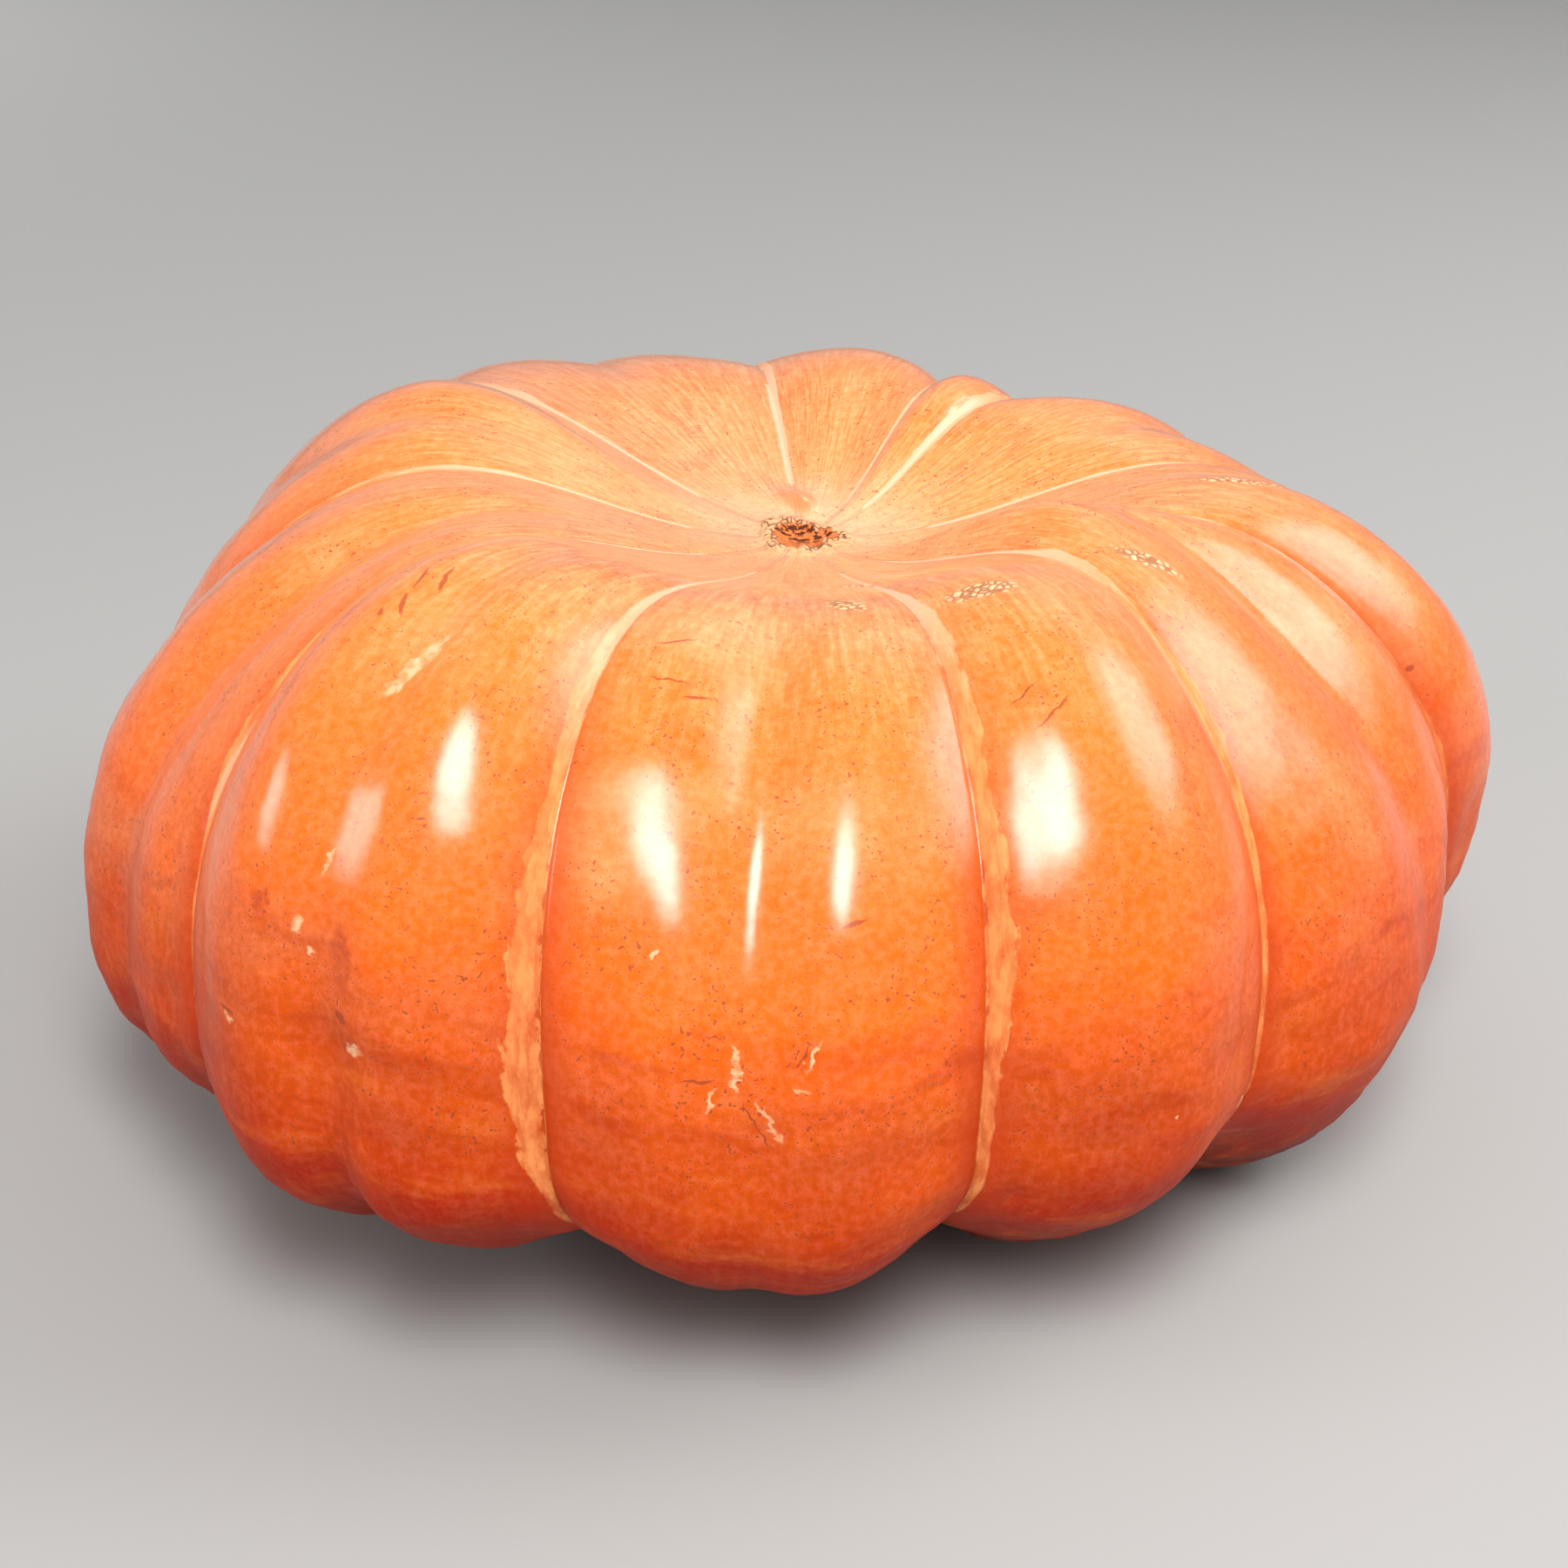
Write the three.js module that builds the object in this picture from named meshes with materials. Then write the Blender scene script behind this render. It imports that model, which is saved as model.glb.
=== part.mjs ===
// A flat ribbed pumpkin: eleven rounded lobes round a sunken crown, with the stem fallen off and its
// corky scar left in the middle of the pit. It grew as one piece, so it is one closed solid.
// Millimetres, +Z up. The origin is on the ground, under the middle of the pumpkin's outline.
import * as THREE from "three";
import { mergeVertices } from "three/addons/utils/BufferGeometryUtils.js";

// The whole fruit, measured over the lobes' crests
const radius = 200; // a lobe of reach 1 stands this far from the axis
const height = 224; // the crowns of the lobes, before the pit is sunk into them
const widestHeight = 74; // the fruit is widest low down
const sidePower = 1.06; // how fast the side draws in towards the crown and the base
const crownPower = 0.8;
const basePower = 0.8;
const sink = 15; // the base would reach this far under the ground, and lies flat there instead
const crownShift = { x: 4, y: -9.5 }; // the crown leans off the axis of the base
const tilt = { x: -0.058, y: -0.008 }; // rise of the crown for each millimetre outwards

// The pit round the stem scar, and the dimple of the blossom end underneath
const pit = { depth: 60, radius: 92, power: 2.4 };
const dimple = { depth: 40, radius: 50 };

// The grooves between the lobes
const grooveDepth = 15;
const lowGain = 0.5; // they get this much deeper below the fruit's shoulder
const lowGainStart = 1.3; // where that starts and how long it takes, in radians from the stem end
const lowGainLength = 1.2;
const crownFade = 1.4; // radians from the stem end over which a groove comes in
const baseFade = 0.6; // radians from the blossom end over which grooves, folds and lift die away
const crestPower = 1.8; // the lobe's section: both powers at 2 would make it a half circle
const shoulderPower = 1.2;

// A lobe's lift comes in over these radians from the stem end, and its belly lies round this angle
const liftStart = 0.15;
const liftLength = 0.55;
const bellyAngle = 2;
const bellyWidth = 0.4;

// A fold is the shallow second groove that runs down the middle of a lobe
const foldWidth = 0.16; // half width, as a share of the lobe
const foldStart = 0.35; // radians from the stem end
const foldLength = 0.7;

// The stem scar: a low corky rim round a shallow dish, and the short rib that stands behind it
const scar = { radius: 10.5, rimWidth: 3, rimHeight: 1.4, dishDepth: 1.8 };
const neck = { distance: 24, azimuth: 92, size: 7, rise: 3 };

// One line for each lobe, counted anticlockwise seen from above, starting with the one at the front.
//   groove  azimuth of the groove at its clockwise side, in degrees from +X
//   sway    degrees by which that groove wanders on its way up to the crown
//   reach   how far the lobe stands out, against the radius above
//   lean    how much more it stands out at the crown, and less at the base
//   belly   how much more it stands out low down
//   lift    how much higher its crown is, in millimetres
//   fold    where its fold runs, as a share of the way across, and depth, the fold's depth
const lobes = [
  { groove: -107, sway: -3, reach: 1.07, lean: -0.02, belly: 0, lift: -9, fold: 0.46, depth: 4 },
  { groove: -77, sway: 2.5, reach: 1.035, lean: -0.02, belly: -0.03, lift: 2.5, fold: 0.5, depth: 0 },
  { groove: -51.5, sway: 5.5, reach: 1.035, lean: -0.3, belly: -0.12, lift: 6.5, fold: 0.62, depth: 2.5 },
  { groove: -11, sway: -4.5, reach: 1.06, lean: 0.03, belly: -0.1, lift: 1.5, fold: 0.7, depth: 2 },
  { groove: 7, sway: 5.5, reach: 0.95, lean: -0.02, belly: 0, lift: 3.5, fold: 0.37, depth: 4 },
  { groove: 51, sway: -1, reach: 0.84, lean: -0.08, belly: 0, lift: 4, fold: 0.5, depth: 0 },
  { groove: 65.5, sway: -1.5, reach: 1.01, lean: -0.01, belly: 0, lift: -1, fold: 0.5, depth: 0 },
  { groove: 101.5, sway: -6.5, reach: 1.15, lean: 0.13, belly: 0, lift: -12, fold: 0.45, depth: 4 },
  { groove: 138, sway: 3.5, reach: 0.99, lean: -0.07, belly: 0, lift: 5.5, fold: 0.65, depth: 5 },
  { groove: 187.5, sway: 0, reach: 1.1, lean: -0.17, belly: -0.06, lift: -4, fold: 0.62, depth: 5 },
  { groove: 222, sway: 0, reach: 1.12, lean: 0.12, belly: 0.1, lift: 7.5, fold: 0.53, depth: 6 },
];

// The faces: columns stand closer near a groove, rings closer at the scar and at both ends
const acrossLobe = [0, 0.03, 0.08, 0.16, 0.27, 0.39, 0.5, 0.61, 0.73, 0.84, 0.92, 0.97];
const scarRings = [4, 7.5, 10.5, 13.5, 18, 24]; // millimetres from the axis
const bodyRings = 27;
const ringCrowding = 0.35; // 0 spaces the body's rings evenly

const weldDistance = 0.001; // vertices closer than this are one
const degree = Math.PI / 180;

function smoothStep(value) {
  const share = Math.min(Math.max(value, 0), 1);
  return share * share * (3 - 2 * share);
}

function lobeWidth(index) {
  const next = index + 1 < lobes.length ? lobes[index + 1].groove : lobes[0].groove + 360;
  return next - lobes[index].groove;
}

// A lobe's own value at its middle, passing smoothly into its neighbour's past the groove.
function blended(key, index, across) {
  const towards = across < 0.5 ? -1 : 1;
  const other = (index + towards + lobes.length) % lobes.length;
  const gap = (lobeWidth(index) + lobeWidth(other)) / 2;
  const share = smoothStep((Math.abs(across - 0.5) * lobeWidth(index)) / gap);
  return lobes[index][key] * (1 - share) + lobes[other][key] * share;
}

// The upright section through a lobe's crest, as [distance from the axis, height]. The angle runs
// along it from 0 at the stem to pi at the blossom end.
function section(angle) {
  const up = Math.cos(angle);
  const out = radius * Math.abs(Math.sin(angle)) ** sidePower;
  let level = widestHeight;
  if (up >= 0) {
    level += (height - widestHeight) * up ** crownPower;
    level -= pit.depth * Math.exp(-((out / pit.radius) ** pit.power));
  } else {
    level -= (widestHeight + sink) * (-up) ** basePower;
    level += dimple.depth * Math.exp(-((out / dimple.radius) ** 2));
  }
  return [out, level];
}

// The unit direction out of the fruit, in the plane of that section.
function sectionNormal(angle) {
  const step = 0.001;
  const [outA, levelA] = section(Math.max(angle - step, 0));
  const [outB, levelB] = section(Math.min(angle + step, Math.PI));
  const length = Math.hypot(outB - outA, levelB - levelA);
  return [(levelA - levelB) / length, (outB - outA) / length];
}

// How far the rind lies inside the crests' surface.
function grooveInset(angle, index, across) {
  const fromCrest = Math.abs(2 * across - 1);
  const shape = 1 - (1 - fromCrest ** crestPower) ** (1 / shoulderPower);
  const groove = grooveDepth * shape * smoothStep(angle / crownFade);
  const trough = Math.exp(-(((across - lobes[index].fold) / foldWidth) ** 2));
  const fold = lobes[index].depth * trough * smoothStep((angle - foldStart) / foldLength);
  const gain = 1 + lowGain * smoothStep((angle - lowGainStart) / lowGainLength);
  return (groove * gain + fold) * smoothStep((Math.PI - angle) / baseFade);
}

// The scar's rim, its dish, and the rib behind it, as a rise of the rind near the axis.
function scarRise(out, azimuth) {
  const rim = scar.rimHeight * Math.exp(-(((out - scar.radius) / scar.rimWidth) ** 2));
  const dish = scar.dishDepth * (1 - smoothStep(out / scar.radius));
  const acrossNeck = out * Math.sin((azimuth - neck.azimuth) * degree);
  const alongNeck = out * Math.cos((azimuth - neck.azimuth) * degree) - neck.distance;
  const rib = neck.rise * Math.exp(-((acrossNeck ** 2 + alongNeck ** 2) / neck.size ** 2));
  return rim - dish + rib;
}

function rindPoint(angle, index, across) {
  const next = lobes[(index + 1) % lobes.length];
  const sway = lobes[index].sway * (1 - across) + next.sway * across;
  const azimuth = lobes[index].groove + lobeWidth(index) * across + sway * Math.cos(angle);
  const low = Math.exp(-(((angle - bellyAngle) / bellyWidth) ** 2));
  const lean = blended("lean", index, across) * Math.cos(angle);
  const reach = blended("reach", index, across) + lean + blended("belly", index, across) * low;
  const inset = grooveInset(angle, index, across);
  const [out, level] = section(angle);
  const [normalOut, normalUp] = sectionNormal(angle);
  const distance = out * reach - normalOut * inset;
  const turnX = Math.cos(azimuth * degree);
  const turnY = Math.sin(azimuth * degree);
  let z = level - normalUp * inset;
  const fromEnds = smoothStep((angle - liftStart) / liftLength) * smoothStep((Math.PI - angle) / baseFade);
  const lift = blended("lift", index, across) * fromEnds;
  z += (distance * (tilt.x * turnX + tilt.y * turnY) + lift) * smoothStep(z / widestHeight);
  if (angle < Math.PI / 2) z += scarRise(out, azimuth);
  const crown = Math.cos(angle / 2) ** 2;
  return [
    distance * turnX + crownShift.x * crown,
    distance * turnY + crownShift.y * crown,
    Math.max(z, 0),
  ];
}

// The rings' angles: first the scar's own, then the body's down to the blossom end.
function ringAngles() {
  const scarAngles = scarRings.map((out) => Math.asin((out / radius) ** (1 / sidePower)));
  const start = scarAngles[scarAngles.length - 1];
  const angles = [0, ...scarAngles];
  for (let ring = 1; ring <= bodyRings; ring += 1) {
    const share = ring / bodyRings;
    const eased = share - (ringCrowding * Math.sin(2 * Math.PI * share)) / (2 * Math.PI);
    angles.push(start + (Math.PI - start) * eased);
  }
  return angles;
}

function makePumpkin() {
  const angles = ringAngles();
  const columns = lobes.length * acrossLobe.length;
  const rings = angles.length - 1;
  const geometry = new THREE.SphereGeometry(1, columns, rings);
  const position = geometry.getAttribute("position");
  for (let ring = 0; ring <= rings; ring += 1) {
    for (let column = 0; column <= columns; column += 1) {
      const turn = column % columns;
      const index = Math.floor(turn / acrossLobe.length);
      const point = rindPoint(angles[ring], index, acrossLobe[turn % acrossLobe.length]);
      position.setXYZ(ring * (columns + 1) + column, ...point);
    }
  }
  geometry.deleteAttribute("normal");
  geometry.deleteAttribute("uv");
  const closed = mergeVertices(geometry, weldDistance);
  closed.computeBoundingBox();
  const middle = closed.boundingBox.getCenter(new THREE.Vector3());
  closed.translate(-middle.x, -middle.y, -closed.boundingBox.min.z);
  closed.computeVertexNormals();
  const rind = new THREE.MeshStandardMaterial({ color: "#f5742f", roughness: 0.32, metalness: 0 });
  const pumpkin = new THREE.Mesh(closed, rind);
  pumpkin.name = "pumpkin";
  return pumpkin;
}

const part = new THREE.Group();
part.add(makePumpkin());

export default part;
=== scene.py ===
from math import pi, radians

import bpy
import numpy as np
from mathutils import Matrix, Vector


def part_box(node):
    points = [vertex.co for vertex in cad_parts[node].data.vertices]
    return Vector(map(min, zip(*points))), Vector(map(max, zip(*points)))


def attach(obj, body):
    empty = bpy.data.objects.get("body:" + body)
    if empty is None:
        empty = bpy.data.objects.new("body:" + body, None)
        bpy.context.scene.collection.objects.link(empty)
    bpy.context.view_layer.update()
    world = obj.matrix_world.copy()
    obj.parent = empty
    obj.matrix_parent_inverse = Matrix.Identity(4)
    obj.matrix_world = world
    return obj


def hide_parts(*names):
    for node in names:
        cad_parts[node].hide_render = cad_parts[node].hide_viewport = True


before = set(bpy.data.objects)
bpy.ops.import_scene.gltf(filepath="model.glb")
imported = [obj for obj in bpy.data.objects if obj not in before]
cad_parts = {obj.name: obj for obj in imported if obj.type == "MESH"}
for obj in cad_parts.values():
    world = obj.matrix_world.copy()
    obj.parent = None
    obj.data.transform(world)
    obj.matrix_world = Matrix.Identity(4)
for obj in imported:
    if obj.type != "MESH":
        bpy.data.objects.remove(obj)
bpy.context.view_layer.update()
print("frame loaded, nodes:", sorted(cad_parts))

mm = 0.001

# the whole fruit over the crests of its lobes, in mm; a place along a lobe is an angle in
# radians, from 0 at the stem scar to pi at the blossom end
fruit = {
    "radius": 200,
    "height": 224,
    "widestHeight": 74,
    "sidePower": 1.06,
    "crownPower": 0.8,
    "basePower": 0.8,
    "sink": 15,
    "crownShift": (4, -9.5),
    "tilt": (-0.058, -0.008),
    "pitDepth": 60,
    "pitRadius": 92,
    "pitPower": 2.4,
    "dimpleDepth": 40,
    "dimpleRadius": 50,
    "grooveDepth": 15,
    "lowGain": 0.5,
    "lowGainStart": 1.3,
    "lowGainLength": 1.2,
    "crownFade": 1.4,
    "baseFade": 0.6,
    "crestPower": 1.8,
    "shoulderPower": 1.2,
    "liftStart": 0.15,
    "liftLength": 0.55,
    "bellyAngle": 2,
    "bellyWidth": 0.4,
}

# the fold down the middle of a lobe, with a fine crease in it and a soft trough on the crown;
# widths are half widths, as shares of the lobe
folds = {
    "width": 0.16,
    "start": 0.35,
    "length": 0.7,
    "creaseWidth": 0.055,
    "creaseStart": 0.5,
    "creaseLength": 0.3,
    "creaseLowStart": 1.2,
    "creaseLowLength": 0.5,
    "troughWidth": 0.12,
    "troughStart": 0.3,
    "troughLength": 0.3,
    "troughEnd": 0.9,
    "troughFade": 0.7,
}

# the lobes anticlockwise from above, the front one first: azimuth of the groove at its
# clockwise side and how far it sways at the crown, in degrees; reach, and how much more of
# it at the crown and low down; how much higher its crown is, in mm; where the fold runs
# across the lobe, and its depth in mm; the crease's depth up high and low down, and the
# trough's
lobeColumns = (
    "groove", "sway", "reach", "lean", "belly", "lift",
    "fold", "foldDepth", "creaseHigh", "creaseLow", "trough",
)
lobeRows = [
    (-107, -3, 1.07, -0.02, 0, -9, 0.46, 4, 1.2, 0.8, 2.4),
    (-77, 2.5, 1.035, -0.02, -0.03, 2.5, 0.5, 0, 0, 0, 0),
    (-51.5, 5.5, 1.035, -0.3, -0.12, 6.5, 0.62, 2.5, 0.9, 0.8, 0.5),
    (-11, -4.5, 1.06, 0.03, -0.1, 1.5, 0.7, 2, 0.8, 0.6, 1),
    (7, 5.5, 0.95, -0.02, 0, 3.5, 0.37, 4, 1, 1, 0.5),
    (51, -1, 0.84, -0.08, 0, 4, 0.5, 0, 0, 0, 0),
    (65.5, -1.5, 1.01, -0.01, 0, -1, 0.5, 0, 0, 0, 0),
    (101.5, -6.5, 1.15, 0.13, 0, -12, 0.45, 4, 0.9, 1.5, 1),
    (138, 3.5, 0.99, -0.07, 0, 5.5, 0.65, 5, 0.5, 1, 1),
    (187.5, 0, 1.1, -0.17, -0.06, -4, 0.62, 5, 0.9, 2, 1.2),
    (222, 0, 1.12, 0.12, 0.1, 7.5, 0.53, 6, 0.7, 4.5, 1.5),
]
lobes = dict(zip(lobeColumns, np.array(lobeRows).T))
lobeCount = len(lobeRows)
grooves = lobes["groove"]
widths = np.append(grooves[1:], grooves[0] + 360) - grooves

# the stem scar in mm; its rim wanders and is ragged by waves, each of which has its height,
# its turns round the scar and its start
scar = {
    "radius": 10.5,
    "rimWidth": 3,
    "rimHeight": 1.4,
    "rimWander": [(0.7, 3, 0.6), (0.4, 7, 2)],
    "rimRags": [(0.25, 11, 0), (0.25, 23, 1)],
    "dishDepth": 1.8,
    "poreDepth": 0.25,
    "poreRings": 2.1,
    "poreTurns": (3, 5),
}
neck = {"distance": 24, "azimuth": 92, "size": 7, "rise": 3}  # the short rib behind the scar

# the pale band along each groove: its half width in mm at the angles below, and the side of
# the crease that it lies on (0: both); on the crown every band lies on both
bandAngles = (0.2, 0.45, 0.6, 0.8, 1, 1.15, 1.3, 1.5, 1.7, 2.1)
bandWidths = [
    (0.5, 0.7, 1, 2, 1.2, 2.8, 3, 3.8, 1, 0),
    (0.4, 0.9, 1.8, 2, 2, 3, 3.4, 1.6, 1, 0),
    (0.5, 0.8, 2.2, 0.9, 2.5, 1.6, 0.9, 0.8, 0.3, 0),
    (0.3, 0.3, 0.3, 0, 0, 0, 0.5, 0.5, 0, 0),
    (0.8, 0.8, 0.5, 0.4, 1, 1, 1, 0.5, 0, 0),
    (0.8, 1.6, 3, 3.4, 3, 2.5, 2, 2, 1, 0),
    (0.6, 1, 1.3, 2, 2.5, 2, 2, 1.5, 0.6, 0),
    (0.8, 1.3, 1.6, 1.8, 2.5, 3, 3, 2, 1, 0),
    (0.8, 1.2, 2.4, 2.8, 2.5, 3.5, 3.5, 3, 1, 0),
    (0.7, 0.9, 1, 0.9, 0.8, 1.2, 2, 2.5, 1, 0),
    (0.4, 0.5, 0.4, 0.4, 1.5, 2.6, 0.8, 0.4, 0.2, 0),
]
bandSides = np.array([-1, 1, 1, 1, 1, 0, 0, -1, -1, -1, -1])
bandSideStart = 0.4
bandSideLength = 0.2

halo = {"stretch": 1.25, "back": 12}  # the pale halo is wide, and its middle lies behind the scar
farOff = 500  # mm; keeps the halo and the scar off the base
clearOfBand = 9  # mm; stands for the way to the crease where a band lies on both sides

# how finely the rind is divided
rindMesh = {
    "columns": 48,  # for each lobe
    "crowding": 0.7,  # of the columns towards the grooves
    "scarRings": 26,
    "scarReach": 30,  # the scar's finer rings end this far from the axis, in mm
    "bodyRings": 150,
}

# lumps and wrinkles press the rind in: their size in mm, for the wrinkles in thousandths of
# the chart; depth in mm; where they come in along the lobe; and their least share above that
relief = {
    "lumps": {
        "size": 34, "depth": 2.6, "coords": "LOCAL", "start": 0.7, "length": 0.7, "least": 0.35,
    },
    "wrinkles": {
        "size": 50, "depth": 2.2, "coords": "UV", "start": 1.15, "length": 0.5, "least": 0,
    },
}
reliefDetail = 2
reliefClear = {"groove": 14, "ground": 20}  # mm over which the relief comes in from them
weightSteps = 20


def smoothStep(value):
    share = np.clip(value, 0, 1)
    return share * share * (3 - 2 * share)


def blended(key, index, across):
    # a lobe's own value at its middle, passing smoothly into its neighbour's
    towards = np.where(across < 0.5, -1, 1)
    other = (index + towards) % lobeCount
    gap = (widths[index] + widths[other]) / 2
    share = smoothStep(np.abs(across - 0.5) * widths[index] / gap)
    return lobes[key][index] * (1 - share) + lobes[key][other] * share


def section(angle):
    # the upright section through a crest: distance from the axis, and height
    up = np.cos(angle)
    out = fruit["radius"] * np.abs(np.sin(angle)) ** fruit["sidePower"]
    widest = fruit["widestHeight"]
    pit = fruit["pitDepth"] * np.exp(-((out / fruit["pitRadius"]) ** fruit["pitPower"]))
    dimple = fruit["dimpleDepth"] * np.exp(-((out / fruit["dimpleRadius"]) ** 2))
    crown = widest + (fruit["height"] - widest) * np.abs(up) ** fruit["crownPower"] - pit
    base = widest - (widest + fruit["sink"]) * np.abs(up) ** fruit["basePower"] + dimple
    return out, np.where(up >= 0, crown, base)


def sectionNormal(angle):
    step = 0.001
    outA, levelA = section(np.maximum(angle - step, 0))
    outB, levelB = section(np.minimum(angle + step, pi))
    length = np.hypot(outB - outA, levelB - levelA)
    return (levelA - levelB) / length, (outB - outA) / length


def foldInset(angle, index, across):
    fromFold = across - lobes["fold"][index]
    comeIn = smoothStep((angle - folds["start"]) / folds["length"])
    inset = lobes["foldDepth"][index] * np.exp(-((fromFold / folds["width"]) ** 2)) * comeIn
    low = smoothStep((angle - folds["creaseLowStart"]) / folds["creaseLowLength"])
    crease = lobes["creaseHigh"][index] * (1 - low) + lobes["creaseLow"][index] * low
    comeIn = smoothStep((angle - folds["creaseStart"]) / folds["creaseLength"])
    inset = inset + crease * np.exp(-((fromFold / folds["creaseWidth"]) ** 2)) * comeIn
    comeIn = smoothStep((angle - folds["troughStart"]) / folds["troughLength"])
    comeIn = comeIn * (1 - smoothStep((angle - folds["troughEnd"]) / folds["troughFade"]))
    trough = lobes["trough"][index] * np.exp(-((fromFold / folds["troughWidth"]) ** 2))
    return inset + trough * comeIn


def grooveInset(angle, index, across):
    fromCrest = np.abs(2 * across - 1)
    shape = 1 - (1 - fromCrest ** fruit["crestPower"]) ** (1 / fruit["shoulderPower"])
    groove = fruit["grooveDepth"] * shape * smoothStep(angle / fruit["crownFade"])
    gain = smoothStep((angle - fruit["lowGainStart"]) / fruit["lowGainLength"])
    inset = groove * (1 + fruit["lowGain"] * gain) + foldInset(angle, index, across)
    return inset * smoothStep((pi - angle) / fruit["baseFade"])


def waves(azimuth, parts):
    return sum(height * np.sin(turns * azimuth + start) for height, turns, start in parts)


def scarRise(out, azimuth):
    fromRim = (out - scar["radius"] - waves(azimuth, scar["rimWander"])) / scar["rimWidth"]
    rim = scar["rimHeight"] * (1 + waves(azimuth, scar["rimRags"])) * np.exp(-(fromRim ** 2))
    inDish = 1 - smoothStep(out / scar["radius"])
    pores = np.sin(out * scar["poreRings"] + scar["poreTurns"][0] * azimuth)
    pores = scar["poreDepth"] * pores * np.sin(scar["poreTurns"][1] * azimuth + out)
    turn = azimuth - radians(neck["azimuth"])
    acrossNeck = out * np.sin(turn)
    alongNeck = out * np.cos(turn) - neck["distance"]
    rib = neck["rise"] * np.exp(-((acrossNeck ** 2 + alongNeck ** 2) / neck["size"] ** 2))
    return rim + (pores - scar["dishDepth"]) * inDish + rib


def rindPoints(angle, index, across):
    following = (index + 1) % lobeCount
    sway = lobes["sway"][index] * (1 - across) + lobes["sway"][following] * across
    azimuth = np.radians(grooves[index] + widths[index] * across + sway * np.cos(angle))
    low = np.exp(-(((angle - fruit["bellyAngle"]) / fruit["bellyWidth"]) ** 2))
    reach = blended("reach", index, across) + blended("lean", index, across) * np.cos(angle)
    reach = reach + blended("belly", index, across) * low
    inset = grooveInset(angle, index, across)
    out, level = section(angle)
    normalOut, normalUp = sectionNormal(angle)
    distance = out * reach - normalOut * inset
    turnX, turnY = np.cos(azimuth), np.sin(azimuth)
    z = level - normalUp * inset
    fromEnds = smoothStep((angle - fruit["liftStart"]) / fruit["liftLength"])
    fromEnds = fromEnds * smoothStep((pi - angle) / fruit["baseFade"])
    lift = distance * (fruit["tilt"][0] * turnX + fruit["tilt"][1] * turnY)
    lift = lift + blended("lift", index, across) * fromEnds
    z = z + lift * smoothStep(z / fruit["widestHeight"])
    z = z + np.where(angle < pi / 2, scarRise(out, azimuth), 0)
    crown = np.cos(angle / 2) ** 2
    x = distance * turnX + fruit["crownShift"][0] * crown
    y = distance * turnY + fruit["crownShift"][1] * crown
    return x, y, np.maximum(z, 0)


# how far along the section each angle lies, in mm
fineSteps = 4000
fineAngles = np.linspace(0, pi, fineSteps + 1)
fineOut, fineLevel = section(fineAngles)
fineLength = np.append(0, np.cumsum(np.hypot(np.diff(fineOut), np.diff(fineLevel))))
lobeLength = fineLength[-1]
girth = 2 * pi * fruit["radius"]


def ringAngles():
    crown = slice(fineSteps // 2)
    start = np.interp(rindMesh["scarReach"], fineOut[crown], fineLength[crown])
    near = np.linspace(0, start, rindMesh["scarRings"], endpoint=False)
    far = np.linspace(start, lobeLength, rindMesh["bodyRings"] + 1)
    return np.interp(np.append(near, far), fineLength, fineAngles)


def columnPlaces():
    share = np.arange(rindMesh["columns"]) / rindMesh["columns"]
    across = share - rindMesh["crowding"] * np.sin(2 * pi * share) / (2 * pi)
    return np.repeat(np.arange(lobeCount), rindMesh["columns"]), np.tile(across, lobeCount)


def chartPlace(angle, index, across):
    # u runs once round the fruit from the first groove, v from the stem to the blossom end
    u = (grooves[index] + widths[index] * across - grooves[0]) / 360
    return u, np.interp(angle, fineAngles, fineLength) / lobeLength


def layOutChart(mesh, vertexU, vertexV, atPole):
    loopVertex = np.empty(len(mesh.loops), dtype=int)
    mesh.loops.foreach_get("vertex_index", loopVertex)
    loopU, loopV, loopPole = vertexU[loopVertex], vertexV[loopVertex], atPole[loopVertex]
    for face in mesh.polygons:
        span = range(face.loop_start, face.loop_start + face.loop_total)
        plain = [i for i in span if not loopPole[i]]
        if max(loopU[i] for i in plain) - min(loopU[i] for i in plain) > 0.5:
            for i in plain:  # this face closes the ring, so its far side is past 1
                if loopU[i] < 0.5:
                    loopU[i] += 1
        for i in span:
            if loopPole[i]:
                loopU[i] = sum(loopU[k] for k in plain) / len(plain)
    mesh.uv_layers[0].name = "alongLobes"
    mesh.uv_layers[0].data.foreach_set("uv", np.stack([loopU, loopV], axis=1).ravel())


def fromGroove(angle, index, across):
    # distance from the nearest groove in mm, more than nothing on its anticlockwise side
    out = section(angle)[0] * blended("reach", index, across)
    fromOwn = across * np.radians(widths[index]) * out
    fromNext = (1 - across) * np.radians(widths[index]) * out
    return np.where(across < 0.5, fromOwn, -fromNext)


def addAttributes(mesh, angle, index, across, x, y):
    seam = fromGroove(angle, index, across)
    groove = np.where(across < 0.5, index, (index + 1) % lobeCount)
    halfWidth = np.zeros(len(angle))
    for number, bandWidth in enumerate(bandWidths):
        ownBand = groove == number
        halfWidth[ownBand] = np.interp(angle[ownBand], bandAngles, bandWidth, left=0)
    toSide = bandSides[groove] * smoothStep((angle - bandSideStart) / bandSideLength)
    oneSided = np.abs(toSide) > 0.5
    haloX = x - fruit["crownShift"][0]
    haloY = y - fruit["crownShift"][1] - halo["back"]
    below = np.where(angle > pi / 2, farOff, 0)
    for name, values in {
        "lobeAngle": angle,
        "seamGap": np.abs(seam),
        "bandEdge": halfWidth - np.abs(seam - toSide * halfWidth),
        "bandHalf": halfWidth,
        "bandSide": np.where(oneSided, np.sign(toSide) * seam, clearOfBand),
        "haloOut": np.hypot(haloX / halo["stretch"], haloY) + below,
        "scarOut": section(angle)[0] + below,
    }.items():
        layer = mesh.attributes.new(name, "FLOAT", "POINT")
        layer.data.foreach_set("value", values.astype(np.float32))


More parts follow.
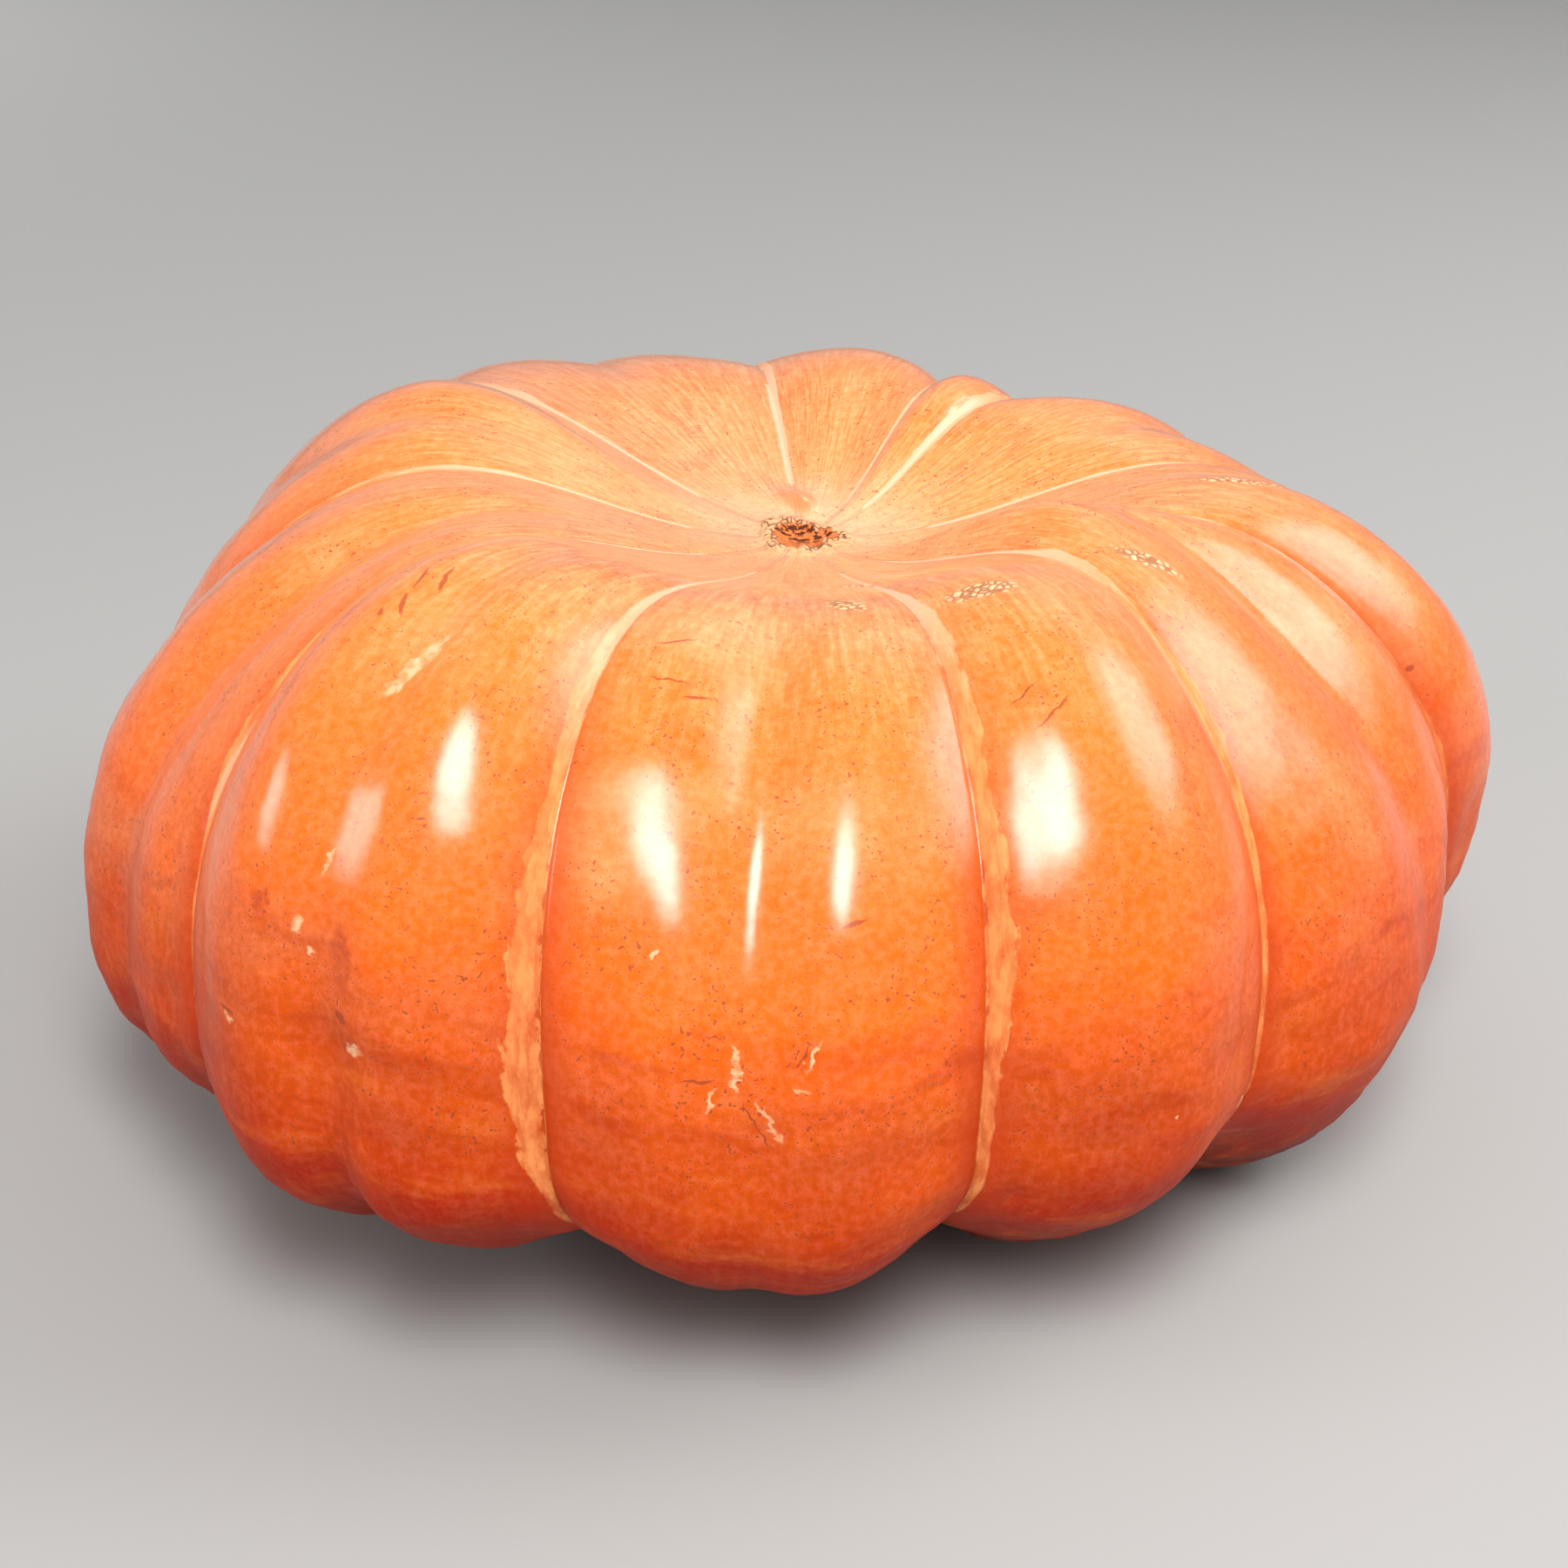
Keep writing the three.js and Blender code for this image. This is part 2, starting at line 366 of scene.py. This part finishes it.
def addWeights(rind, angle, index, across, height):
    clear = smoothStep(np.abs(fromGroove(angle, index, across)) / reliefClear["groove"])
    clear = clear * smoothStep(height / reliefClear["ground"])
    for name, part in relief.items():
        comeIn = smoothStep((angle - part["start"]) / part["length"])
        weights = (part["least"] + (1 - part["least"]) * comeIn) * clear
        group = rind.vertex_groups.new(name=name)
        for step in range(weightSteps + 1):
            chosen = np.nonzero(np.rint(weights * weightSteps) == step)[0]
            group.add(chosen.tolist(), step / weightSteps, "REPLACE")


def modelRind():
    # a UV sphere, whose vertices are then moved onto the fruit's own form
    angles = ringAngles()
    columnLobe, columnAcross = columnPlaces()
    rings, columns = len(angles) - 1, len(columnLobe)
    bpy.ops.object.select_all(action="DESELECT")
    bpy.ops.mesh.primitive_uv_sphere_add(segments=columns, ring_count=rings, radius=1)
    rind = bpy.context.object
    rind.name = rind.data.name = "rind"
    mesh = rind.data
    place = np.empty(len(mesh.vertices) * 3)
    mesh.vertices.foreach_get("co", place)
    place = place.reshape(-1, 3)
    ring = np.rint(np.arccos(np.clip(place[:, 2], -1, 1)) / pi * rings).astype(int)
    turn = np.arctan2(place[:, 1], place[:, 0]) / (2 * pi) * columns
    column = np.rint(turn).astype(int) % columns

    angle, index, across = angles[ring], columnLobe[column], columnAcross[column]
    x, y, z = rindPoints(angle, index, across)
    points = np.stack([x, y, z], axis=1) * mm
    low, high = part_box("pumpkin")
    middle = (points.min(axis=0) + points.max(axis=0)) / 2
    points[:, 0] += (low.x + high.x) / 2 - middle[0]
    points[:, 1] += (low.y + high.y) / 2 - middle[1]
    mesh.vertices.foreach_set("co", points.ravel())
    layOutChart(mesh, *chartPlace(angle, index, across), (ring == 0) | (ring == rings))
    addAttributes(mesh, angle, index, across, x, y)
    addWeights(rind, angle, index, across, z)
    return rind


def pressRelief(rind):
    for name, part in relief.items():
        clouds = bpy.data.textures.new(name, "CLOUDS")
        clouds.noise_scale = part["size"] * mm
        clouds.noise_depth = reliefDetail
        press = rind.modifiers.new(name, "DISPLACE")
        press.texture = clouds
        press.texture_coords = part["coords"]
        press.vertex_group = name
        press.mid_level = 1
        press.strength = part["depth"] * mm
        bpy.ops.object.modifier_apply(modifier=name)


def fillBox(rind):
    # the pressed rind is let out again until it just fills the CAD model's box
    low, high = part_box("pumpkin")
    mesh = rind.data
    points = np.empty(len(mesh.vertices) * 3)
    mesh.vertices.foreach_get("co", points)
    points = points.reshape(-1, 3)
    ownLow, ownHigh = points.min(axis=0), points.max(axis=0)
    spare = 0.2 * mm
    scale = (np.array(high) - np.array(low) - 2 * spare) / (ownHigh - ownLow)
    points = (points - ownLow) * scale + np.array(low) + spare
    points[:, 2] -= spare  # it still stands on the floor
    mesh.vertices.foreach_set("co", points.ravel())
    mesh.update()


rind = modelRind()
pressRelief(rind)
fillBox(rind)
bpy.ops.object.shade_smooth()
print("rind modelled, triangles:", sum(len(f.vertices) - 2 for f in rind.data.polygons))


def linear(code):
    channels = [int(code[i:i + 2], 16) / 255 for i in (1, 3, 5)]
    return [c / 12.92 if c <= 0.04045 else ((c + 0.055) / 1.055) ** 2.4 for c in channels] + [1]


def addNode(tree, kind, inputs, **settings):
    # inputs give a socket's value, or the socket that it is linked from
    node = tree.nodes.new("ShaderNode" + kind)
    for name, value in settings.items():
        setattr(node, name, value)
    for socket, value in inputs.items():
        if isinstance(value, bpy.types.NodeSocket):
            tree.links.new(value, node.inputs[socket])
        else:
            node.inputs[socket].default_value = value
    return node


# marks on the rind: lobe, place across it, angle from the stem, half length along the lobe
# and half width in mm, and turn in degrees
marks = {
    "neck": [(6, 0.9, 0.136, 8, 6, 0)],
    "cork": [
        (1, 0.3, 0.6, 5, 9.5, 15),
        (2, 0.27, 0.76, 4.2, 13, 45),
        (3, 0.49, 0.64, 3.2, 9, 80),
        (0, 0.9, 0.35, 5, 5, 0),
        (0, 0.74, 0.5, 6, 6, 30),
        (7, 0.59, 0.74, 2.2, 7, 33),
        (6, 0.28, 0.66, 1.8, 7, -14),
    ],
    # dark scratches, and painted shadow beside the two long pale slivers on lobe 0
    "scratch": [
        (10, 0.36, 0.81, 1.6, 0.9, -36),
        (10, 0.4, 0.78, 4.5, 0.8, -40),
        (10, 0.36, 0.72, 5, 0.7, -34),
        (10, 0.43, 0.7, 6, 0.8, -30),
        (10, 0.6, 1.47, 1.4, 2.6, 20),
        (10, 0.29, 1.52, 0.7, 3.2, 12),
        (0, 0.16, 0.67, 0.5, 4, -15),
        (0, 0.18, 0.76, 0.45, 5, 0),
        (0, 0.27, 0.79, 0.5, 3, -10),
        (0, 0.35, 1.41, 0.5, 4, -10),
        (0, 0.68, 1.16, 0.5, 4, -20),
        # painted shadow beside a raised pale sliver, as is the next one
        (0, 0.475, 1.47, 7.5, 0.4, -26),
        (0, 0.57, 1.36, 4.5, 0.35, 25),
        (1, 0.22, 0.85, 0.4, 5, -20),
        (1, 0.29, 0.9, 0.4, 6, -25),
        (1, 0.24, 1.03, 0.4, 5, -20),
        (3, 0.03, 1.11, 1.3, 1.3, 0),
    ],
    "pale": [
        (7, 0.58, 0.076, 1.8, 2.3, 0),
        (6, 0.8, 0.13, 0.9, 1, 0),
        (6, 0.98, 0.15, 0.7, 0.8, 0),
        (0, 0.5, 1.46, 6.5, 0.8, -26),
        (0, 0.59, 1.36, 4.5, 0.8, 25),
        (0, 0.57, 1.41, 0.8, 3, 20),
        (0, 0.25, 1.23, 2, 0.9, 30),
        (0, 0.43, 1.39, 7, 0.9, 0),
        (0, 0.38, 1.44, 4, 0.7, 4),
        (10, 0.49, 1.35, 3.4, 1.6, 8),
        (10, 0.52, 1.39, 2, 1, 0),
        (10, 0.54, 1.23, 5, 0.9, 5),
        (10, 0.555, 0.865, 13, 2.4, 21),
        (10, 0.63, 1.51, 2, 3, 0),
        (10, 0.3, 1.53, 0.9, 2.6, 12),
        (1, 0.56, 1.56, 0.9, 0.7, 0),
        (1, 0.93, 1.62, 2.5, 1.2, 0),
    ],
    "bruise": [
        (10, 0.4, 1.33, 5, 3, 5),
        (10, 0.6, 1.38, 9, 4, -5),
        (10, 0.61, 1.5, 5, 3.5, 0),
    ],
}
markFade = (0.6, 1.1)  # a mark's edge, as shares of its half width
ragSize = 3  # mm; the marks' outlines are shifted about by a pattern of this size, this far
ragShift = 5

rindColours = {
    "throat": "#F09C5A",
    "crown": "#F08C44",
    "shoulder": "#F17C33",
    "side": "#F36E24",
    # low and base: redder low down, and darker still by painted shade towards the base
    "low": "#B82806",
    "base": "#701402",
    "light": "#FFB478",
    "deep": "#DC4E16",
    "speck": "#9A3E16",
    "bandTop": "#F1BC96",
    "bandSide": "#F9A05C",
    "halo": "#F2CFA6",
    "cork": "#F0C698",
    "corkDark": "#7E3C18",
    # dark scratches, and painted shadow beside pale slivers
    "scratch": "#98391A",
    "pale": "#FFCF9E",
    "bruise": "#B8421A",
    "scarWood": "#D97840",
    "scarDark": "#5A2A14",
    "scarRim": "#E8AC7E",
    # painted shade along the crease at the bottom of each groove
    "crease": "#B4521F",
    "row": "#B02A0A",
    "shade": "#BC360E",
    "neck": "#E87A38",
}

# ripening from the stem to the blossom end, darkened by painted shade on the low side and at the
# base, as shares of the angle
ripeAndShadeStops = {"throat": 0.05, "crown": 0.16, "shoulder": 0.28, "side": 0.4, "low": 0.56, "base": 0.72}

# patterns in the rind: size in mm, detail and roughness
rindClouds = {
    "broad": (45, 3, 0.5),
    "blotches": (14, 4, 0.6),
    "softWrinkles": (8, 3, 0.5),
    "flecks": (3, 3, 0.5),
    "mottle": (2.2, 4, 0.7),
    "scarGrain": (1.8, 3, 0.5),
    "pores": (1.6, 3, 0.5),
    "dots": (1.1, 1, 0.5),
}
# patterns that lie along or across the lobes: size across and along in mm, detail, roughness
lobeClouds = {
    "rows": (34, 12, 3, 0.55),
    "streaks": (5, 45, 4, 0.6),
    "splinters": (3.5, 11, 5, 0.6),
    "fibres": (2.4, 14, 4, 0.65),
}
crustSize = 2.3  # mm

# what the looks are made of, in this order: "follow" lets a value follow another one smoothly
# (what it follows, where the change starts and ends, the values there), and the rest join two
# values; angles are in radians from the stem, widths in mm
rindValues = [
    ("rampShift", "follow", "broad", 0.2, 0.8, -0.12, 0.12),
    ("rampAngle", "ADD", "lobeAngle", "rampShift"),
    ("ripeAndShadeLevel", "DIVIDE", "rampAngle", pi),
    # pale and deep clouds
    ("lightClouds", "follow", "broad", 0.5, 0.75, 0, 0.35),
    ("upHigh", "follow", "lobeAngle", 1.2, 1.6, 1, 0.25),
    ("lightShare", "MULTIPLY", "lightClouds", "upHigh"),
    ("deepShare", "follow", "blotches", 0.52, 0.75, 0, 0.35),
    # rows of redder and lighter patches across the lobes, low down
    ("lowDown", "follow", "lobeAngle", 1.1, 1.5, 0, 1),
    ("redRows", "follow", "rows", 0.52, 0.72, 0, 0.5),
    ("redRowShare", "MULTIPLY", "redRows", "lowDown"),
    ("lightRows", "follow", "rows", 0.28, 0.48, 0.3, 0),
    ("lightRowShare", "MULTIPLY", "lightRows", "lowDown"),
    # streaks and fibres along the lobes, strongest on the crown
    ("onCrown", "follow", "lobeAngle", 0.25, 1.1, 0.5, 0.03),
    ("streakTops", "follow", "streaks", 0.5, 0.7, 0, 1),
    ("streakShare", "MULTIPLY", "streakTops", "onCrown"),
    ("fibreTops", "follow", "fibres", 0.48, 0.62, 0, 1),
    ("fibreShare", "MULTIPLY", "fibreTops", "onCrown"),
    ("fibreGaps", "follow", "fibres", 0.5, 0.36, 0, 0.7),
    ("gapShare", "MULTIPLY", "fibreGaps", "onCrown"),
    # the halo, with streaks for an edge
    ("haloWander", "follow", "streaks", 0.3, 0.7, -10, 10),
    ("haloEdge", "ADD", "haloOut", "haloWander"),
    ("haloShare", "follow", "haloEdge", 12, 40, 0.42, 0),
    # fine mottling, and dark specks that gather in patches
    ("fineValue", "follow", "mottle", 0.3, 0.7, 0.88, 1.07),
    ("fineSaturation", "follow", "mottle", 0.3, 0.7, 1.03, 0.98),
    ("speckDots", "follow", "dots", 0.63, 0.69, 0, 0.8),
    ("speckPatches", "follow", "blotches", 0.35, 0.6, 0.25, 1),
    ("speckShare", "MULTIPLY", "speckDots", "speckPatches"),
    # painted shade in the grooves, and a line of painted shade along the crease at their bottom
    ("nearGroove", "follow", "seamGap", 0, 13, 0.6, 0),
    ("shadeFall", "follow", "lobeAngle", 0.5, 1.3, 0.1, 1),
    ("shadeShare", "MULTIPLY", "nearGroove", "shadeFall"),
    ("creaseShadeShare", "follow", "seamGap", 0.2, 1.1, 0.4, 0),
    # the pale bands: splinters break up the edges of the wide ones
    ("splinterOut", "follow", "splinters", 0.3, 0.7, -1.4, 1.4),
    ("splinterShare", "follow", "bandHalf", 0.8, 3, 0.12, 1),
    ("rag", "MULTIPLY", "splinterOut", "splinterShare"),
    ("raggedEdge", "ADD", "bandEdge", "rag"),
    ("insideEdge", "follow", "raggedEdge", -0.4, 0.35, 0, 1),
    ("ownSide", "follow", "bandSide", -0.5, 0.1, 0, 1),
    ("onBand", "MULTIPLY", "insideEdge", "ownSide"),
    ("bandFall", "follow", "lobeAngle", 0.5, 0.95, 0, 1),
    ("bandPatches", "follow", "splinters", 0.35, 0.62, 0.35, 0.78),
    ("bandFibres", "follow", "fibres", 0.4, 0.56, 0.5, 1),
    ("bandWear", "MULTIPLY", "bandPatches", "bandFibres"),
    ("bandUpHigh", "follow", "lobeAngle", 0.4, 1, 0.9, 0),
    ("bandCover", "MAXIMUM", "bandWear", "bandUpHigh"),
    ("bandShare", "MULTIPLY", "onBand", "bandCover"),
    # marks
    ("neckShare", "MULTIPLY", "onNeck", 0.65),
    ("bruiseFlecks", "follow", "flecks", 0.35, 0.65, 0.2, 0.85),
    ("bruiseShare", "MULTIPLY", "onBruise", "bruiseFlecks"),
    ("paleFlecks", "follow", "flecks", 0.35, 0.6, 0.2, 0.65),
    ("paleShare", "MULTIPLY", "onPale", "paleFlecks"),
    ("crustShare", "follow", "crust", 0.05, 0.25, 0.8, 0),
    ("corkShare", "MULTIPLY", "onCork", 0.85),
    # scratches, and painted shadow beside pale slivers
    ("scratchAndShadowShare", "MULTIPLY", "onScratch", 0.75),
    # the scar: wood with dark pits behind, in a rim with dark loops
    ("scarWander", "follow", "flecks", 0.3, 0.7, -1.2, 1.2),
    ("scarPlace", "ADD", "scarOut", "scarWander"),
    ("rimInside", "follow", "scarPlace", 8.2, 9.2, 0, 1),
    ("rimOutside", "follow", "scarPlace", 12.4, 14, 1, 0),
    ("onRim", "MULTIPLY", "rimInside", "rimOutside"),
    ("onWood", "follow", "scarPlace", 8.6, 9.6, 1, 0),
    ("onScar", "MAXIMUM", "onRim", "onWood"),
    ("pitsBehind", "follow", "frontToBack", -5 * mm, 0, 0.3, 1),
    ("pitDots", "follow", "scarGrain", 0.48, 0.56, 0, 1),
    ("pitShare", "MULTIPLY", "pitDots", "pitsBehind"),
    ("loopLines", "follow", "crust", 0.04, 0.16, 0.8, 0),
    ("loopPlace", "follow", "scarPlace", 11.6, 12.4, 1, 0),
    ("loopShare", "MULTIPLY", "loopLines", "loopPlace"),
    # the wax is worn off on bands, cork and scar, and dusty below
    ("gloss", "follow", "blotches", 0.3, 0.7, 0.26, 0.34),
    ("bandDullness", "MULTIPLY", "onBand", 0.3),
    ("corkDullness", "MULTIPLY", "onCork", 0.7),
    ("markDullness", "MAXIMUM", "bandDullness", "corkDullness"),
    ("ownDullness", "MAXIMUM", "markDullness", "onScar"),
    ("dust", "follow", "lobeAngle", 1.2, 1.9, 0, 0.55),
    ("dullness", "MAXIMUM", "ownDullness", "dust"),
    ("waxLeft", "follow", "dullness", 0, 0.7, 1, 0),
    ("waxFall", "follow", "lobeAngle", 1.15, 1.6, 1, 0),
    ("waxShare", "MULTIPLY", "waxLeft", "waxFall"),
    # heights in mm: pores, soft wrinkles and the scar's grain
    ("poreHeight", "MULTIPLY", "pores", 0.05),
    ("wrinkleHeight", "MULTIPLY", "softWrinkles", 0.32),
    ("rindHeight", "ADD", "poreHeight", "wrinkleHeight"),
    ("grainHeight", "MULTIPLY", "scarGrain", 1.2),
    ("scarHeight", "MULTIPLY", "onScar", "grainHeight"),
    ("height", "ADD", "rindHeight", "scarHeight"),
]

# colours of two tones: from, to, and the share of the second
twoTones = {
    "band": ("bandTop", "bandSide", "bandFall"),
    "crust": ("cork", "corkDark", "crustShare"),
    "rim": ("scarRim", "scarDark", "loopShare"),
    "wood": ("scarWood", "scarDark", "pitShare"),
}

# what is painted over the ripening and its painted shade, each with its share: before the fine
# mottling, and after
underPaints = [
    ("light", "lightShare"), ("deep", "deepShare"), ("row", "redRowShare"),
    ("shoulder", "lightRowShare"), ("light", "streakShare"), ("light", "fibreShare"),
    ("deep", "gapShare"), ("halo", "haloShare"),
]
overPaints = [
    ("speck", "speckShare"), ("shade", "shadeShare"), ("crease", "creaseShadeShare"),
    ("band", "bandShare"), ("neck", "neckShare"), ("bruise", "bruiseShare"),
    ("pale", "paleShare"), ("crust", "corkShare"), ("scratch", "scratchAndShadowShare"),
    ("rim", "onRim"), ("wood", "onWood"),
]
dullRoughness = 0.75


def markMask(tree, chart, places):
    # chart is the rind laid flat in mm; each mark is an oval, and the nearest one counts
    nearest = None
    for lobe, across, angle, halfLength, halfWidth, turn in places:
        u, v = chartPlace(angle, lobe, across)
        out = np.interp(angle, fineAngles, fineOut) * lobes["reach"][lobe]
        wide = halfWidth * fruit["radius"] / out  # the chart is as wide at the crown as at the girth
        turnX, turnY = np.cos(radians(turn)), np.sin(radians(turn))
        moved = addNode(tree, "VectorMath", {
            0: chart, 1: (u * girth, v * lobeLength, 0),
        }, operation="SUBTRACT").outputs[0]
        overWidth = addNode(tree, "VectorMath", {
            0: moved, 1: (turnX / wide, turnY / wide, 0),
        }, operation="DOT_PRODUCT").outputs["Value"]
        overLength = addNode(tree, "VectorMath", {
            0: moved, 1: (-turnY / halfLength, turnX / halfLength, 0),
        }, operation="DOT_PRODUCT").outputs["Value"]
        squared = addNode(tree, "Math", {0: overWidth, 1: overWidth}, operation="MULTIPLY")
        squared = addNode(tree, "Math", {
            0: overLength, 1: overLength, 2: squared.outputs[0],
        }, operation="MULTIPLY_ADD").outputs[0]
        if nearest is not None:
            squared = addNode(tree, "Math", {0: nearest, 1: squared}, operation="MINIMUM").outputs[0]
        nearest = squared
    distance = addNode(tree, "Math", {0: nearest}, operation="SQRT").outputs[0]
    return addNode(tree, "MapRange", {
        0: distance, 1: markFade[0], 2: markFade[1], 3: 1, 4: 0,
    }, interpolation_type="SMOOTHSTEP").outputs[0]


def addMarks(tree, chart, value):
    rag = addNode(tree, "TexNoise", {"Vector": chart, "Scale": 1 / ragSize, "Detail": 2})
    rag = addNode(tree, "VectorMath", {
        0: rag.outputs["Color"], 1: (0.5, 0.5, 0.5),
    }, operation="SUBTRACT").outputs[0]
    for name, places in marks.items():
        shift = ragShift / 2 if name == "scratch" else ragShift  # scratches are cleaner
        ragged = addNode(tree, "VectorMath", {
            0: rag, 1: (shift, shift, 0), 2: chart,
        }, operation="MULTIPLY_ADD").outputs[0]
        value["on" + name.capitalize()] = markMask(tree, ragged, places)


def addPatterns(tree, place, chart, value):
    for name, (size, detail, roughness) in rindClouds.items():
        value[name] = addNode(tree, "TexNoise", {
            "Vector": place, "Scale": 1 / (size * mm), "Detail": detail, "Roughness": roughness,
        }).outputs[0]
    for name, (across, along, detail, roughness) in lobeClouds.items():
        drawn = addNode(tree, "Mapping", {"Vector": chart, "Scale": (1 / across, 1 / along, 1)})
        value[name] = addNode(tree, "TexNoise", {
            "Vector": drawn.outputs[0], "Scale": 1, "Detail": detail, "Roughness": roughness,
        }).outputs[0]
    crust = addNode(tree, "TexVoronoi", {
        "Vector": place, "Scale": 1 / (crustSize * mm),
    }, feature="DISTANCE_TO_EDGE")
    value["crust"] = crust.outputs["Distance"]
    value["frontToBack"] = addNode(tree, "SeparateXYZ", {0: place}).outputs["Y"]


def addPaints(tree, skin, paints, colour, value):
    for name, share in paints:
        layer = addNode(tree, "Mix", {0: value[share], 6: skin, 7: colour[name]}, data_type="RGBA")
        skin = layer.outputs[2]
    return skin


def waxyPumpkinRind():
    # the ripe rind of a pumpkin: orange and reddening downwards, with painted shade darkening it low
    # down and in the grooves, under a thin natural wax that gives it soft, bright highlights
    material = bpy.data.materials.new("waxyPumpkinRind")
    material.use_nodes = True
    tree = material.node_tree
    tree.nodes.clear()
    place = addNode(tree, "TexCoord", {}).outputs["Object"]
    flat = addNode(tree, "UVMap", {}, uv_map="alongLobes").outputs[0]
    chart = addNode(tree, "Mapping", {"Vector": flat, "Scale": (girth, lobeLength, 1)}).outputs[0]

    value = {}
    for name in ("lobeAngle", "seamGap", "bandEdge", "bandHalf", "bandSide", "haloOut", "scarOut"):
        value[name] = addNode(tree, "Attribute", {}, attribute_name=name).outputs["Fac"]
    addPatterns(tree, place, chart, value)
    addMarks(tree, chart, value)
    for name, operation, *parts in rindValues:
        inputs = {i: value[part] if part in value else part for i, part in enumerate(parts)}
        if operation == "follow":
            node = addNode(tree, "MapRange", inputs, interpolation_type="SMOOTHSTEP")
        else:
            node = addNode(tree, "Math", inputs, operation=operation)
        value[name] = node.outputs[0]

    colour = {name: linear(code) for name, code in rindColours.items()}
    for name, (first, second, share) in twoTones.items():
        colour[name] = addNode(tree, "Mix", {
            0: value[share], 6: colour[first], 7: colour[second],
        }, data_type="RGBA").outputs[2]
    # the ripening ramp; its dark low and base colours are partly painted shade
    ripeAndShadeRamp = addNode(tree, "ValToRGB", {0: value["ripeAndShadeLevel"]})
    stops = ripeAndShadeRamp.color_ramp.elements
    while len(stops) < len(ripeAndShadeStops):
        stops.new(1)
    for stop, (name, position) in zip(stops, ripeAndShadeStops.items()):
        stop.position = position
        stop.color = colour[name]
    skin = addPaints(tree, ripeAndShadeRamp.outputs[0], underPaints, colour, value)
    skin = addNode(tree, "HueSaturation", {
        "Color": skin, "Value": value["fineValue"], "Saturation": value["fineSaturation"],
    }).outputs[0]
    skin = addPaints(tree, skin, overPaints, colour, value)

    roughness = addNode(tree, "Mix", {0: value["dullness"], 2: value["gloss"], 3: dullRoughness})
    bump = addNode(tree, "Bump", {"Height": value["height"], "Distance": mm, "Strength": 1})
    shader = addNode(tree, "BsdfPrincipled", {
        "Base Color": skin, "Roughness": roughness.outputs[0], "Normal": bump.outputs[0],
        "IOR": 1.45, "Specular IOR Level": 0.15,
        "Coat Weight": value["waxShare"], "Coat Roughness": 0.16, "Coat IOR": 1.45,
    })
    addNode(tree, "OutputMaterial", {0: shader.outputs[0]})
    return material


rind.data.materials.clear()
rind.data.materials.append(waxyPumpkinRind())
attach(rind, "root")
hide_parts("pumpkin")
print("rind finished")


studio = {
    "floorSize": 60,  # metres
    "floorColour": "#A6A5A3",
    "floorRoughness": 0.8,
    "skyColour": "#FFFFFF",
    "skyStrength": 0.44,
    "aimHeight": 0.12,  # the softboxes look at the fruit's middle, this high in metres
    "glowStart": 0.15,  # a softbox is bright in its middle and fades towards its edge
    "glowEnd": 0.5,
    "glowStrength": 2.4,
}

# softboxes: azimuth and elevation of the way to each from the fruit, distance, width and
# height in metres, power in watts, and whether the rind mirrors it
softboxes = {
    "leftBox": (-166, 20, 2.2, 1.1, 1.2, 10, True),
    "frontBox": (-84, 50, 1.7, 0.8, 1.5, 28, True),
    "rightBox": (10, 38, 2.1, 2.4, 2, 26, True),
    "backRightBox": (60, 45, 2.2, 3, 2, 4, True),
    "backLeftBox": (130, 12, 2.4, 2.4, 0.9, 10, False),
}


def addFloor():
    bpy.ops.object.select_all(action="DESELECT")
    bpy.ops.mesh.primitive_plane_add(size=studio["floorSize"])
    floor = bpy.context.object
    floor.name = "floor"
    material = bpy.data.materials.new("palePaperSweep")
    material.use_nodes = True
    shader = material.node_tree.nodes["Principled BSDF"]
    shader.inputs["Base Color"].default_value = linear(studio["floorColour"])
    shader.inputs["Roughness"].default_value = studio["floorRoughness"]
    floor.data.materials.append(material)


def fadeOut(light):
    light.use_nodes = True
    tree = light.node_tree
    place = addNode(tree, "NewGeometry", {}).outputs["Parametric"]
    fromMiddle = addNode(tree, "VectorMath", {0: place, 1: (0.5, 0.5, 0)}, operation="DISTANCE")
    glow = addNode(tree, "MapRange", {
        0: fromMiddle.outputs["Value"], 1: studio["glowStart"], 2: studio["glowEnd"],
        3: studio["glowStrength"], 4: 0,
    }, interpolation_type="SMOOTHSTEP")
    tree.links.new(glow.outputs[0], tree.nodes["Emission"].inputs["Strength"])


def addLights():
    middle = Vector((0, 0, studio["aimHeight"]))
    for name, (azimuth, elevation, distance, width, height, power, mirrored) in softboxes.items():
        turn, rise = radians(azimuth), radians(elevation)
        way = Vector((np.cos(turn) * np.cos(rise), np.sin(turn) * np.cos(rise), np.sin(rise)))
        bpy.ops.object.light_add(type="AREA", location=middle + way * distance)
        light = bpy.context.object
        light.name = name
        light.visible_glossy = mirrored
        light.rotation_euler = way.to_track_quat("Z", "Y").to_euler()
        light.data.shape = "ELLIPSE"
        light.data.size, light.data.size_y = width, height
        light.data.energy = power
        fadeOut(light.data)
    world = bpy.data.worlds.new("studio")
    bpy.context.scene.world = world
    world.use_nodes = True
    sky = world.node_tree.nodes["Background"]
    sky.inputs[0].default_value = linear(studio["skyColour"])
    sky.inputs[1].default_value = studio["skyStrength"]
    bpy.context.scene.view_settings.view_transform = "Standard"


# the photograph's view, in mm: 25 degrees down on the front lobe
view = {"place": (-4.8, -766.8, 442.5), "aim": (-6.8, 6.7, 80.5), "lens": 63.8, "sensor": 36}


def addCamera():
    place, aim = Vector(view["place"]) * mm, Vector(view["aim"]) * mm
    bpy.ops.object.camera_add(location=place)
    camera = bpy.context.object
    camera.rotation_euler = (place - aim).to_track_quat("Z", "Y").to_euler()
    camera.data.lens = view["lens"]
    camera.data.sensor_width = view["sensor"]
    bpy.context.scene.camera = camera


addFloor()
addLights()
addCamera()
print("floor, lights and camera in place")
